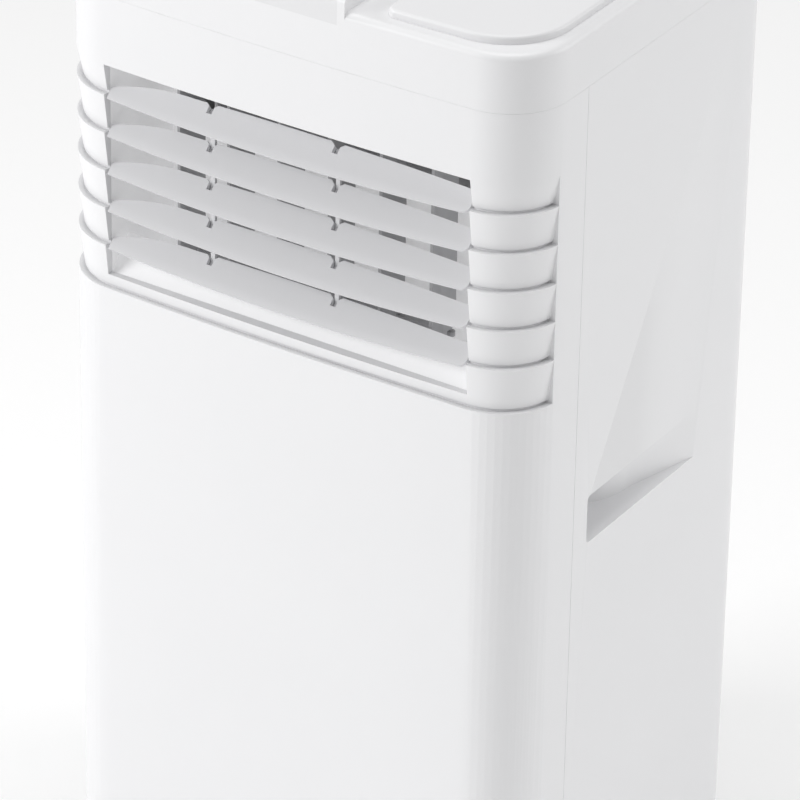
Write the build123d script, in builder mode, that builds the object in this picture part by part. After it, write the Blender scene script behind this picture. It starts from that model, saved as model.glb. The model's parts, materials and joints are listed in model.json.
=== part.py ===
from build123d import *
import os
from math import asin, cos, degrees, radians, sin, sqrt

# Portable air conditioner on casters.
# Frame: origin on the floor under the middle of the cabinet, front towards -Y,
# +X to the right of someone who looks at the front, +Z up. Millimetres.

os.makedirs("parts", exist_ok=True)

# ---- cabinet outline -------------------------------------------------------
WIDTH = 330.0
FRONT_Y = -140.0
BACK_Y = 140.0
FRONT_CORNER = 40.0
REAR_CORNER = 36.0
BOW = 2.4
BOW_HALF = 125.0
BOW_RADIUS = (BOW_HALF**2 + BOW**2) / (2 * BOW)
BOW_CENTRE_Y = FRONT_Y + BOW_RADIUS
CORNER_X = WIDTH / 2 - FRONT_CORNER
CORNER_Y = BOW_CENTRE_Y - sqrt((BOW_RADIUS - FRONT_CORNER) ** 2 - CORNER_X**2)
BOW_ANGLE = asin(CORNER_X / (BOW_RADIUS - FRONT_CORNER))

# ---- shells ----------------------------------------------------------------
WALL = 2.5
GAP = 0.3
SEAM_GAP = 0.1
SKIRT_Z = 32.0
SHELL_Z = 48.0
TOP_SEAM_Z = 649.0
RIM_Z = 685.0
RIM_FILLET = 4.5
SEAM_Y = -76.6
LIP_REACH = 10.0
LIP_WALL = 1.8

# ---- louvre zone -----------------------------------------------------------
OPENING_X = 126.0
OPENING_BOTTOM = 464.9
OPENING_TOP = 604.4
STEP_PITCH = 24.85
STEP_TOP = 584.9
STEP_DEPTH = 3.4
STEP_LIP = 1.8
STEP_GAP = 1.6
STEP_GAP_DEPTH = 5.4
STEP_GAP_DROP = 1.0
STEP_LOWEST = 456.8
STEP_COUNT = 5
STEP_END_ANGLE = 80.8
ZONE_WALL = 6.5
STEP_LEVELS = [STEP_TOP - STEP_PITCH * k for k in range(STEP_COUNT)]

# ---- horizontal louvre blades ----------------------------------------------
# A blade's outline is given along X and along its chord, from a line at BLADE_Y.
BLADE_Y = -133.1
BLADE_HALF = 124.6
BLADE_THICK = 2.2
BLADE_TILT = 45.0
BLADE_FRONT_MID = -8.2
BLADE_FRONT_END = -4.2
BLADE_CORNER_LEFT = 2.5
BLADE_CORNER_RIGHT = 5.0
BLADE_REAR_RIGHT = 9.8
BLADE_REAR_CREST = (20.0, 12.0)
BLADE_TAPER_START = (-70.0, 11.2)
BLADE_TAPER_MID = (-105.0, 8.4)
BLADE_REAR_LEFT = 3.2
BLADE_PIN_R = 1.5
BLADE_PIN_END = 128.6
PIVOT_CHORD = 2.4
PIVOT_DROP = 4.6
ARM_R = 2.4
ARM_THICK = 3.0
RUN_FIT = 0.05

# ---- link rods that tie the louvre blades ----------------------------------
LINK_X = (-57.0, 30.0)
LINK_WIDTH = 3.0
LINK_DEPTH = 2.2
LINK_EYE_R = 2.3
LINK_PIN_R = 0.9
LINK_OPEN_R = 1.3
LUG_CHORD = 7.5
LUG_DROP = 4.2
LUG_R = 2.2
LUG_WALL = 1.4
LUG_GAP = 0.4
NOTCH_START = 5.4
NOTCH_END = 13.5
NOTCH_FLARE_START = 9.8
NOTCH_FLARE_HALF = 6.5


def from_chord(level, chord, drop):
    """Y and Z of a point on a blade, from its chord position and drop below it."""
    tilt = radians(BLADE_TILT)
    y = BLADE_Y + chord * cos(tilt) + drop * sin(tilt)
    z = level + chord * sin(tilt) - drop * cos(tilt)
    return y, z


PIVOTS = [from_chord(z, PIVOT_CHORD, PIVOT_DROP) for z in STEP_LEVELS]
LINK_EYES = [from_chord(z, LUG_CHORD, LUG_DROP) for z in STEP_LEVELS]

# ---- vertical vanes --------------------------------------------------------
VANE_COUNT = 6
VANE_PITCH = 35.3
VANE_OFFSET = -4.0
VANE_Y = -97.0
VANE_HALF_CHORD = 13.0
VANE_THICK = 2.0
VANE_BOTTOM = 466.5
VANE_TOP = 604.5
VANE_PIN_R = 1.2
VANE_XS = [VANE_OFFSET + VANE_PITCH * (k - (VANE_COUNT - 1) / 2) for k in range(VANE_COUNT)]
VANE_ARM = 9.0
VANE_LINK_Z = 469.0

# ---- outlet frame behind the louvres ---------------------------------------
FRAME_X = 126.3
FRAME_WALL = 3.0
FRAME_FRONT = -130.5
FRAME_REAR = -64.0
FRAME_FLOOR = 464.0
FRAME_ROOF = 607.0
DUCT_BOTTOM = 545.0

# ---- handle scoops ---------------------------------------------------------
SCOOP_BOTTOM = 341.5
SCOOP_TOP = 373.6
SCOOP_HALF = 61.0
SCOOP_DEPTH = 34.0
SCOOP_WALL = 2.2
SCOOP_ROUND = 3.0

# ---- top deck and console --------------------------------------------------
DECK_INSET = 10.5
DECK_SIDE_INSET = 8.4
DECK_FRONT_CORNER = 42.0
DECK_REAR_CORNER = 27.0
DECK_Z = 690.0
CONSOLE_HALF = 42.0
CONSOLE_REAR = -48.0
CONSOLE_Z = 694.0
CONSOLE_ROUND = 4.0
CHANNEL = 20.0
OVERLAY_HALF = 37.0
OVERLAY_REAR = -54.0
OVERLAY_LOW = 676.5
OVERLAY_THICK = 0.6
DISPLAY_SIZE = (44.0, 18.0)
DISPLAY_Y = -106.0
BUTTON_COUNT = 4
BUTTON_PITCH = 15.0
BUTTON_Y = -78.0
BUTTON_SIZE = (10.0, 7.0)
BUTTON_TOP = 694.8

# ---- casters ---------------------------------------------------------------
CASTER_XY = {
    "front_left": (-122.0, -94.0),
    "front_right": (122.0, -94.0),
    "rear_left": (-122.0, 96.0),
    "rear_right": (122.0, 96.0),
}
WHEEL_R = 17.0
WHEEL_WIDTH = 14.0
WHEEL_TRAIL = 10.0
AXLE_R = 2.0
FORK_CHEEK = 2.5
CROWN_Z = 35.2
STEM_R = 4.0
PAN_FLOOR = 39.0
PAN_THICK = 3.0
PAN_RIM = 64.0

# ---- back face -------------------------------------------------------------
FILTER_X = 125.0
FILTER_Z = (345.0, 630.0)
WINDOW_Z = (343.8, 630.5)
HINGE_Z = 348.0
EXHAUST_XZ = (70.0, 250.0)
EXHAUST_R = 65.0
DRAIN_XZ = (-110.0, 59.0)
DRAIN_R = 5.0
GLAND_XZ = (-95.0, 250.0)
SCREW_XZ = [(x, z) for x in (-118.0, 118.0) for z in (187.0, 328.0, 640.0)]

# ---- works inside ----------------------------------------------------------
PARTITION_Z = 318.0
COLD_FAN_Z = 440.0
COLD_FAN_R = 85.0
HOT_FAN_XZ = (70.0, 138.0)
HOT_FAN_R = 64.0
COMPRESSOR_XY = (-80.0, 8.0)


def plan_face(bow_inset, side_inset, front_r, rear_r):
    """Plan with a bowed front and rounded corners, inside the cabinet by the two insets."""
    bow = BOW_RADIUS - bow_inset
    side = WIDTH / 2 - side_inset
    back = BACK_Y - bow_inset
    corner_x = side - front_r
    corner_y = BOW_CENTRE_Y - sqrt((bow - front_r) ** 2 - corner_x**2)
    bow_angle = asin(corner_x / (bow - front_r))
    bow_x = bow * sin(bow_angle)
    bow_y = BOW_CENTRE_Y - bow * cos(bow_angle)
    middle = (radians(90) + bow_angle) / 2
    front_mid = (corner_x + front_r * sin(middle), corner_y - front_r * cos(middle))
    rear_mid = (side - rear_r * (1 - sin(radians(45))), back - rear_r * (1 - cos(radians(45))))
    with BuildSketch() as plan:
        with BuildLine():
            ThreePointArc((-bow_x, bow_y), (0, FRONT_Y + bow_inset), (bow_x, bow_y))
            ThreePointArc((bow_x, bow_y), front_mid, (side, corner_y))
            Line((side, corner_y), (side, back - rear_r))
            ThreePointArc((side, back - rear_r), rear_mid, (side - rear_r, back))
            Line((side - rear_r, back), (rear_r - side, back))
            ThreePointArc((rear_r - side, back), (-rear_mid[0], rear_mid[1]), (-side, back - rear_r))
            Line((-side, back - rear_r), (-side, corner_y))
            ThreePointArc((-side, corner_y), (-front_mid[0], front_mid[1]), (-bow_x, bow_y))
        make_face()
    return plan.sketch


def cabinet_face(inset):
    """Plan of the cabinet, moved inwards all round by inset."""
    return plan_face(inset, inset, FRONT_CORNER - inset, REAR_CORNER - inset)


def cabinet_slab(inset, bottom, top):
    """Solid of the cabinet plan between two heights."""
    with BuildPart() as slab:
        with BuildSketch(Plane.XY.offset(bottom)):
            add(cabinet_face(inset))
        extrude(amount=top - bottom)
    return slab.part


def cabinet_ring(inset, wall, bottom, top):
    """Wall of the given thickness that follows the cabinet plan."""
    with BuildPart() as ring:
        with BuildSketch(Plane.XY.offset(bottom)):
            add(cabinet_face(inset))
            add(cabinet_face(inset + wall), mode=Mode.SUBTRACT)
        extrude(amount=top - bottom)
    return ring.part


def block(xs, ys, zs):
    """Box between two corners, for cutting and joining."""
    with BuildPart() as cuboid:
        with Locations(((xs[0] + xs[1]) / 2, (ys[0] + ys[1]) / 2, (zs[0] + zs[1]) / 2)):
            Box(xs[1] - xs[0], ys[1] - ys[0], zs[1] - zs[0])
    return cuboid.part


def rod(start, direction, radius, length):
    """Round bar from a point along a direction."""
    with BuildPart() as bar:
        with BuildSketch(Plane(origin=start, z_dir=direction)):
            Circle(radius)
        extrude(amount=length)
    return bar.part


def save(piece, node):
    """Label a finished piece and write it."""
    piece.label = node
    export_step(piece, "parts/" + node + ".step")


# ---- base pan: tray on the casters, with a skirt and four stem sockets ------
SKIRT_INSET = 1.0
with BuildPart() as base_pan:
    add(cabinet_ring(SKIRT_INSET, WALL, SKIRT_Z, SHELL_Z - GAP))
    add(cabinet_slab(SKIRT_INSET + WALL / 2, PAN_FLOOR, PAN_FLOOR + PAN_THICK))
    add(cabinet_ring(WALL + GAP, WALL, PAN_FLOOR, PAN_RIM))
    for stem_x, stem_y in CASTER_XY.values():
        add(rod((stem_x, stem_y, PAN_FLOOR), (0, 0, 1), 9.0, 20.0))
        add(rod((stem_x, stem_y, PAN_FLOOR), (0, 0, 1), STEM_R + RUN_FIT, 18.5), mode=Mode.SUBTRACT)
    drain_start = (DRAIN_XZ[0], BACK_Y - 20, DRAIN_XZ[1])
    add(rod(drain_start, (0, 1, 0), 8.2, 20.0), mode=Mode.SUBTRACT)
save(base_pan.part, "base_pan")

# ---- front panel: bowed front with the stepped louvre zone ------------------
step_tops = [OPENING_TOP] + STEP_LEVELS
step_bottoms = STEP_LEVELS + [STEP_LOWEST]
CUT_OUT = 1.0
bow_dir = (sin(BOW_ANGLE), cos(BOW_ANGLE))
corner_plane = Plane(
    origin=(CORNER_X, CORNER_Y, 0),
    x_dir=(bow_dir[0], -bow_dir[1], 0),
    z_dir=(-bow_dir[1], -bow_dir[0], 0),
)
bow_plane = Plane(
    origin=(0, BOW_CENTRE_Y, 0),
    x_dir=(-bow_dir[0], -bow_dir[1], 0),
    z_dir=(-bow_dir[1], bow_dir[0], 0),
)


def wedge_cut(plane, radius, top, bottom, arc):
    """Wedge swept round the plane's origin: it deepens downwards to a shadow gap over a lip."""
    start = top + CUT_OUT * (top - bottom - STEP_GAP) / STEP_DEPTH
    with BuildPart() as wedge:
        with BuildSketch(plane):
            with BuildLine():
                Polyline(
                    (radius + CUT_OUT, start),
                    (radius + CUT_OUT, bottom),
                    (radius - STEP_LIP, bottom),
                    (radius - STEP_GAP_DEPTH, bottom - STEP_GAP_DROP),
                    (radius - STEP_GAP_DEPTH, bottom + STEP_GAP_DROP),
                    (radius - STEP_DEPTH, bottom + STEP_GAP),
                    close=True,
                )
            make_face()
        revolve(axis=Axis(plane.origin, (0, 0, 1)), revolution_arc=arc)
    return wedge.part


def step_cut(top, bottom):
    """One step of the louvre zone: across the bowed front and round both corners."""
    corner = wedge_cut(corner_plane, FRONT_CORNER, top, bottom, STEP_END_ANGLE - degrees(BOW_ANGLE))
    front = wedge_cut(bow_plane, BOW_RADIUS, top, bottom, degrees(2 * BOW_ANGLE))
    return front + corner + corner.mirror(Plane.YZ)


with BuildPart() as front_panel:
    add(cabinet_ring(0, WALL, SHELL_Z, TOP_SEAM_Z - SEAM_GAP))
    zone = cabinet_ring(0, ZONE_WALL, STEP_LOWEST - 5, OPENING_TOP + 8)
    add(zone & block((-WIDTH, WIDTH), (FRONT_Y - 1, CORNER_Y), (0, TOP_SEAM_Z)))
    add(block((-WIDTH, WIDTH), (SEAM_Y, BACK_Y + 1), (0, RIM_Z)), mode=Mode.SUBTRACT)
    for side in (-1, 1):
        inner = side * (WIDTH / 2 - WALL - GAP - LIP_WALL)
        near = side * (WIDTH / 2 - WALL / 2)
        far = side * (WIDTH / 2 - WALL - GAP)
        lip_zs = (SHELL_Z + 20, TOP_SEAM_Z - 10)
        add(block(sorted((inner, near)), (SEAM_Y - LIP_REACH, SEAM_Y), lip_zs))
        add(block(sorted((inner, far)), (SEAM_Y - 1, SEAM_Y + LIP_REACH), lip_zs))
    opening = block((-OPENING_X, OPENING_X), (FRONT_Y - 1, CORNER_Y), (OPENING_BOTTOM, OPENING_TOP))
    add(opening, mode=Mode.SUBTRACT)
    sill_ys = (FRONT_Y + ZONE_WALL - 1, FRAME_FRONT - GAP)
    add(block((-OPENING_X, OPENING_X), sill_ys, (OPENING_BOTTOM - 4, OPENING_BOTTOM)))
    for top, bottom in zip(step_tops, step_bottoms):
        add(step_cut(top, bottom), mode=Mode.SUBTRACT)
save(front_panel.part, "front_panel")

# ---- rear housing: sides and back in one moulding, with the handle scoops ----


def scoop_face(grow):
    """Plan of the right handle scoop: deep at the front, fading out towards the back."""
    side = WIDTH / 2
    with BuildSketch() as plan:
        with BuildLine():
            Line((side + 1, SCOOP_HALF + 5), (side - 13.5, 10))
            ThreePointArc((side - 13.5, 10), (side - 17, -8), (side - 25.5, -22))
            Line((side - 25.5, -22), (side - SCOOP_DEPTH, -31))
            Line((side - SCOOP_DEPTH, -31), (side - SCOOP_DEPTH, -SCOOP_HALF))
            Line((side - SCOOP_DEPTH, -SCOOP_HALF), (side + 1, -SCOOP_HALF))
            Line((side + 1, -SCOOP_HALF), (side + 1, SCOOP_HALF + 5))
        make_face()
        if grow:
            offset(amount=grow)
    return plan.sketch


def scoop_solid(grow):
    """Solid of the right handle scoop, grown all round by the wall."""
    with BuildPart() as scoop:
        with BuildSketch(Plane.XY.offset(SCOOP_BOTTOM - grow)):
            add(scoop_face(grow))
        extrude(amount=SCOOP_TOP - SCOOP_BOTTOM + 2 * grow)
        if not grow:
            fillet(scoop.edges().filter_by(Axis.X).group_by(Axis.Y)[0], SCOOP_ROUND)
    return scoop.part


SLOT_ROWS = 11
SLOT_PITCH = 9.0
SLOT_SIZE = (52.0, 4.0)
SLOT_LOW = 82.0
scoop_skin = scoop_solid(SCOOP_WALL) & cabinet_slab(0, SCOOP_BOTTOM - 10, SCOOP_TOP + 10)
scoop_hollow = scoop_solid(0)
with BuildPart() as rear_housing:
    add(cabinet_ring(0, WALL, SHELL_Z, TOP_SEAM_Z - SEAM_GAP))
    add(block((-WIDTH, WIDTH), (FRONT_Y - 1, SEAM_Y + GAP), (0, RIM_Z)), mode=Mode.SUBTRACT)
    add(scoop_skin)
    add(scoop_skin.mirror(Plane.YZ))
    add(scoop_hollow, mode=Mode.SUBTRACT)
    add(scoop_hollow.mirror(Plane.YZ), mode=Mode.SUBTRACT)
    for x, z in SCREW_XZ:
        add(rod((x, BACK_Y - 6, z), (0, 1, 0), 7.0, 5.0))
        add(rod((x, BACK_Y - 2.6, z), (0, 1, 0), 4.6, 5.0), mode=Mode.SUBTRACT)
        add(rod((x, BACK_Y - 8, z), (0, 1, 0), 1.6, 8.0), mode=Mode.SUBTRACT)
    with BuildSketch(Plane.XZ.offset(-BACK_Y - 1)):
        with Locations((0, (WINDOW_Z[0] + WINDOW_Z[1]) / 2)):
            Rectangle(2 * FILTER_X + 1.0, WINDOW_Z[1] - WINDOW_Z[0])
        with Locations(EXHAUST_XZ):
            Circle(EXHAUST_R + 6.5)
        with Locations(DRAIN_XZ):
            Circle(8.5)
        with Locations(GLAND_XZ):
            Circle(8.0)
        with Locations((0, SLOT_LOW + SLOT_PITCH * (SLOT_ROWS - 1) / 2)):
            with GridLocations(70.0, SLOT_PITCH, 3, SLOT_ROWS):
                SlotOverall(*SLOT_SIZE)
    extrude(amount=12.0, mode=Mode.SUBTRACT)
    for side in (-1, 1):
        hinge_hole = rod((side * (FILTER_X - 1), BACK_Y - 2.4, HINGE_Z), (side, 0, 0), 1.05, 6.0)
        hinge_boss = block(
            sorted((side * (FILTER_X + 0.5), side * (FILTER_X + 6))),
            (BACK_Y - 7, BACK_Y - 1),
            (HINGE_Z - 5, HINGE_Z + 5),
        )
        add(hinge_boss)
        add(hinge_hole, mode=Mode.SUBTRACT)
save(rear_housing.part, "rear_housing")

# ---- top cover: rim with a rounded edge, and the console tongue at its front ----


def console_block(inset):
    """Console tongue: front face flush with the front panel, rounded over to its top."""
    half = CONSOLE_HALF - inset
    rear = CONSOLE_REAR - inset
    top = CONSOLE_Z - inset
    with BuildPart() as tongue:
        add(cabinet_slab(inset, RIM_Z - 30, top))
        add(block((-half, half), (FRONT_Y - 1, rear), (0, top + 1)), mode=Mode.INTERSECT)
        top_face = tongue.faces().sort_by(Axis.Z)[-1]
        front_edge = top_face.edges().sort_by(Axis.Y)[0]
        fillet(front_edge, CONSOLE_ROUND - inset)
    return tongue.part


overlay_zone = block(
    (-OVERLAY_HALF, OVERLAY_HALF),
    (FRONT_Y - 1, OVERLAY_REAR),
    (OVERLAY_LOW, CONSOLE_Z + 1),
)
overlay_skin = (console_block(0) & overlay_zone) - console_block(OVERLAY_THICK)
button_xs = [BUTTON_PITCH * (k - (BUTTON_COUNT - 1) / 2) for k in range(BUTTON_COUNT)]


def button_prism(grow, bottom, top, x):
    """Prism with the plan of one button at x, grown by grow."""
    with BuildPart() as prism:
        with BuildSketch(Plane(origin=(x, BUTTON_Y, bottom))):
            RectangleRounded(BUTTON_SIZE[0] + 2 * grow, BUTTON_SIZE[1] + 2 * grow, 2.0 + grow)
        extrude(amount=top - bottom)
    return prism.part


COVER_PLATE = 2.5
with BuildPart() as top_cover:
    add(cabinet_slab(0, TOP_SEAM_Z, RIM_Z))
    fillet(top_cover.faces().sort_by(Axis.Z)[-1].edges(), RIM_FILLET)
    add(console_block(0))
    add(cabinet_slab(WALL, TOP_SEAM_Z - 1, RIM_Z - RIM_FILLET), mode=Mode.SUBTRACT)
    add(cabinet_slab(RIM_FILLET, RIM_Z - RIM_FILLET - 1, RIM_Z - COVER_PLATE), mode=Mode.SUBTRACT)
    add(overlay_skin, mode=Mode.SUBTRACT)
    for x in button_xs:
        add(button_prism(0.3, RIM_Z - 10, CONSOLE_Z + 1, x), mode=Mode.SUBTRACT)
save(top_cover.part, "top_cover")

# ---- deck panel: raised lid plate round the console, with a channel between ----
with BuildPart() as deck_panel:
    with BuildSketch(Plane.XY.offset(RIM_Z)):
        add(plan_face(DECK_INSET, DECK_SIDE_INSET, DECK_FRONT_CORNER, DECK_REAR_CORNER))
        recess_depth = CONSOLE_REAR + CHANNEL - FRONT_Y
        with Locations((0, FRONT_Y)):
            Rectangle(2 * (CONSOLE_HALF + CHANNEL), 2 * recess_depth, mode=Mode.SUBTRACT)
    extrude(amount=DECK_Z - RIM_Z)
    channel_edges = deck_panel.edges().filter_by(Axis.Z).filter_by_position(
        Axis.X, -CONSOLE_HALF - CHANNEL - 1, CONSOLE_HALF + CHANNEL + 1
    )
    fillet(channel_edges, 6.0)
    fillet(deck_panel.faces().sort_by(Axis.Z)[-1].edges(), 2.0)
save(deck_panel.part, "deck_panel")

# ---- console overlay, display window and push buttons -----------------------
with BuildPart() as control_overlay:
    add(overlay_skin)
    add(
        block(
            (-DISPLAY_SIZE[0] / 2, DISPLAY_SIZE[0] / 2),
            (DISPLAY_Y - DISPLAY_SIZE[1] / 2, DISPLAY_Y + DISPLAY_SIZE[1] / 2),
            (RIM_Z, CONSOLE_Z + 1),
        ),
        mode=Mode.SUBTRACT,
    )
    for x in button_xs:
        add(button_prism(0.3, RIM_Z, CONSOLE_Z + 1, x), mode=Mode.SUBTRACT)
save(control_overlay.part, "control_overlay")

with BuildPart() as display_window:
    with BuildSketch(Plane.XY.offset(CONSOLE_Z - OVERLAY_THICK)):
        with Locations((0, DISPLAY_Y)):
            RectangleRounded(DISPLAY_SIZE[0] - 0.2, DISPLAY_SIZE[1] - 0.2, 1.5)
    extrude(amount=OVERLAY_THICK + 0.1)
save(display_window.part, "display_window")

BUTTON_SKIRT = 1.2
for index, x in enumerate(button_xs):
    with BuildPart() as console_button:
        add(button_prism(0, RIM_Z - 6, BUTTON_TOP, x))
        add(button_prism(BUTTON_SKIRT, RIM_Z - 7, RIM_Z - COVER_PLATE - 1.5, x))
        fillet(console_button.faces().sort_by(Axis.Z)[-1].edges(), 0.6)
    save(console_button.part, f"console_button_{index + 1}")

with BuildPart() as control_board:
    with BuildSketch(Plane.XY.offset(RIM_Z - 15)):
        with Locations((0, BUTTON_Y - 12)):
            RectangleRounded(78.0, 66.0, 3.0)
    extrude(amount=1.6)
    for x in button_xs:
        add(block((x - 3, x + 3), (BUTTON_Y - 3, BUTTON_Y + 3), (RIM_Z - 14, RIM_Z - 9)))
    add(block((-20, 20), (DISPLAY_Y - 8, DISPLAY_Y + 8), (RIM_Z - 14, RIM_Z - 6)))
save(control_board.part, "control_board")

# ---- outlet frame: duct that carries the louvre and vane pivots --------------
outer_x = FRAME_X + FRAME_WALL
with BuildPart() as outlet_frame:
    frame_zs = (FRAME_FLOOR - FRAME_WALL, FRAME_ROOF + FRAME_WALL)
    add(block((-outer_x, outer_x), (FRAME_FRONT, FRAME_REAR), frame_zs))
    add(
        block((-FRAME_X, FRAME_X), (FRAME_FRONT - 1, FRAME_REAR - FRAME_WALL), (FRAME_FLOOR, FRAME_ROOF)),
        mode=Mode.SUBTRACT,
    )
    add(block((-110, 110), (FRAME_REAR - 5, FRAME_REAR + 1), (DUCT_BOTTOM, FRAME_ROOF)), mode=Mode.SUBTRACT)
    with BuildSketch(Plane.YZ.offset(-FRAME_X - 1)):
        with BuildLine():
            Polyline(
                (FRAME_FRONT, FRAME_FLOOR - FRAME_WALL),
                (FRAME_FRONT, OPENING_BOTTOM - 0.2),
                (-114.0, 484.0),
                (-112.2, 482.5),
                (-126.0, FRAME_FLOOR - FRAME_WALL),
                close=True,
            )
        make_face()
    extrude(amount=2 * FRAME_X + 2)
    for y, z in PIVOTS:
        pivot_hole = rod((-outer_x - 1, y, z), (1, 0, 0), BLADE_PIN_R + RUN_FIT, 2 * outer_x + 2)
        add(pivot_hole, mode=Mode.SUBTRACT)
    for x in VANE_XS:
        for z in (FRAME_FLOOR - FRAME_WALL - 1, FRAME_ROOF - 1):
            vane_hole = rod((x, VANE_Y, z), (0, 0, 1), VANE_PIN_R + RUN_FIT, FRAME_WALL + 2)
            add(vane_hole, mode=Mode.SUBTRACT)
save(outlet_frame.part, "outlet_frame")

# ---- louvre blades: bowed plates on end arms, with lugs for the links ---------


def louvre_blade(level):
    """One louvre blade, its chord line at BLADE_Y and at the given level."""
    tilt = radians(BLADE_TILT)
    plane = Plane(origin=(0, BLADE_Y, level), x_dir=(1, 0, 0), z_dir=(0, -sin(tilt), cos(tilt)))
    pivot_y, pivot_z = from_chord(level, PIVOT_CHORD, PIVOT_DROP)
    half = BLADE_HALF
    with BuildPart() as blade:
        with BuildSketch(plane.offset(-BLADE_THICK / 2)):
            with BuildLine():
                ThreePointArc((-half, BLADE_FRONT_END), (0, BLADE_FRONT_MID), (half, BLADE_FRONT_END))
                Line((half, BLADE_FRONT_END), (half, BLADE_REAR_RIGHT))
                ThreePointArc((half, BLADE_REAR_RIGHT), BLADE_REAR_CREST, BLADE_TAPER_START)
                ThreePointArc(BLADE_TAPER_START, BLADE_TAPER_MID, (-half, BLADE_REAR_LEFT))
                Line((-half, BLADE_REAR_LEFT), (-half, BLADE_FRONT_END))
            make_face()
            front_corners = vertices().group_by(Axis.Y)[0].sort_by(Axis.X)
            fillet(front_corners[-1], BLADE_CORNER_RIGHT)
            fillet(front_corners[0], BLADE_CORNER_LEFT)
        extrude(amount=BLADE_THICK)
        for x in LINK_X:
            notch_half = LINK_WIDTH / 2 + LUG_GAP
            with BuildSketch(plane.offset(-BLADE_THICK)):
                Polygon(
                    (x - notch_half, NOTCH_START),
                    (x + notch_half, NOTCH_START),
                    (x + notch_half, NOTCH_FLARE_START),
                    (x + NOTCH_FLARE_HALF, NOTCH_END),
                    (x - NOTCH_FLARE_HALF, NOTCH_END),
                    (x - notch_half, NOTCH_FLARE_START),
                    align=None,
                )
            extrude(amount=2 * BLADE_THICK, mode=Mode.SUBTRACT)
            for side in (-1, 1):
                lug_x = x + side * (notch_half + LUG_WALL / 2) - LUG_WALL / 2
                with BuildSketch(Plane(plane.from_local_coords((lug_x, 0, 0)), plane.y_dir, (1, 0, 0))):
                    with Locations((LUG_CHORD, -LUG_DROP / 2)):
                        Rectangle(2 * LUG_R, LUG_DROP)
                    with Locations((LUG_CHORD, -LUG_DROP)):
                        Circle(LUG_R)
                extrude(amount=LUG_WALL)
            pin_start = plane.from_local_coords((x - notch_half - LUG_WALL, LUG_CHORD, -LUG_DROP))
            add(rod(pin_start, (1, 0, 0), LINK_PIN_R, 2 * (notch_half + LUG_WALL)))
        for side in (-1, 1):
            arm_x = min(side * half, side * (half - ARM_THICK))
            with BuildSketch(Plane(plane.from_local_coords((arm_x, 0, 0)), plane.y_dir, (1, 0, 0))):
                Polygon(
                    (-0.5, 0),
                    (PIVOT_CHORD + 0.4, 0),
                    (PIVOT_CHORD + ARM_R, -PIVOT_DROP),
                    (PIVOT_CHORD - ARM_R, -PIVOT_DROP),
                    align=None,
                )
                with Locations((PIVOT_CHORD, -PIVOT_DROP)):
                    Circle(ARM_R)
            extrude(amount=ARM_THICK)
            pin_from = (side * (half - 1), pivot_y, pivot_z)
            add(rod(pin_from, (side, 0, 0), BLADE_PIN_R, BLADE_PIN_END - half + 1))
    return blade.part


for index, level in enumerate(STEP_LEVELS):
    save(louvre_blade(level), f"louvre_blade_{index + 1}")

# ---- link rods: one eye on each blade --------------------------------------
for name, x in zip(("left", "right"), LINK_X):
    left = x - LINK_WIDTH / 2
    rod_y = LINK_EYES[0][0]
    with BuildPart() as louvre_link:
        add(
            block(
                (left, left + LINK_WIDTH),
                (rod_y - LINK_DEPTH / 2, rod_y + LINK_DEPTH / 2),
                (LINK_EYES[-1][1], LINK_EYES[0][1]),
            )
        )
        for y, z in LINK_EYES:
            add(rod((left, y, z), (1, 0, 0), LINK_EYE_R, LINK_WIDTH))
        for index, (y, z) in enumerate(LINK_EYES):
            eye_hole = LINK_PIN_R + RUN_FIT if index == 0 else LINK_OPEN_R
            add(rod((left - 1, y, z), (1, 0, 0), eye_hole, LINK_WIDTH + 2), mode=Mode.SUBTRACT)
    save(louvre_link.part, f"louvre_link_{name}")

# ---- vertical vanes and their link bar -------------------------------------
VANE_RELIEF = 474.0
for index, x in enumerate(VANE_XS):
    with BuildPart() as vane:
        with BuildSketch(Plane.YZ.offset(x - VANE_THICK / 2)):
            with Locations((VANE_Y, (VANE_BOTTOM + VANE_TOP) / 2)):
                RectangleRounded(2 * VANE_HALF_CHORD, VANE_TOP - VANE_BOTTOM, 3.0)
            with Locations((VANE_Y + 4 + VANE_HALF_CHORD, VANE_BOTTOM)):
                Rectangle(2 * VANE_HALF_CHORD, 2 * (VANE_RELIEF - VANE_BOTTOM), mode=Mode.SUBTRACT)
        extrude(amount=VANE_THICK)
        add(rod((x, VANE_Y, FRAME_FLOOR - 2), (0, 0, 1), VANE_PIN_R, VANE_BOTTOM - FRAME_FLOOR + 4))
        add(rod((x, VANE_Y, VANE_TOP - 2), (0, 0, 1), VANE_PIN_R, FRAME_ROOF - VANE_TOP + 4))
        add(rod((x, VANE_Y + VANE_ARM, VANE_LINK_Z - 1), (0, 0, 1), 0.9, VANE_RELIEF - VANE_LINK_Z + 2))
    save(vane.part, f"vane_{index + 1}")

with BuildPart() as vane_link:
    with BuildSketch(Plane.XY.offset(VANE_LINK_Z)):
        with Locations((VANE_OFFSET, VANE_Y + VANE_ARM)):
            SlotOverall(VANE_PITCH * (VANE_COUNT - 1) + 6, 5.0)
    extrude(amount=3.0)
    for index, x in enumerate(VANE_XS):
        hole_r = 0.95 if index == 0 else 1.3
        add(rod((x, VANE_Y + VANE_ARM, VANE_LINK_Z - 1), (0, 0, 1), hole_r, 5.0), mode=Mode.SUBTRACT)
save(vane_link.part, "vane_link")

with BuildPart() as louvre_motor:
    add(rod((outer_x, VANE_Y + 6, 520.0), (1, 0, 0), 11.0, 16.0))
    add(block((outer_x, outer_x + 2), (VANE_Y - 8, VANE_Y + 20), (514.0, 526.0)))
save(louvre_motor.part, "louvre_motor")

# ---- cold section: scroll, wheel, motor, coil and tray ----------------------
COLD_SCROLL_R = 100.0
COLD_SCROLL_Y = (-6.0, 62.0)
SHEET = 2.0


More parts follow.
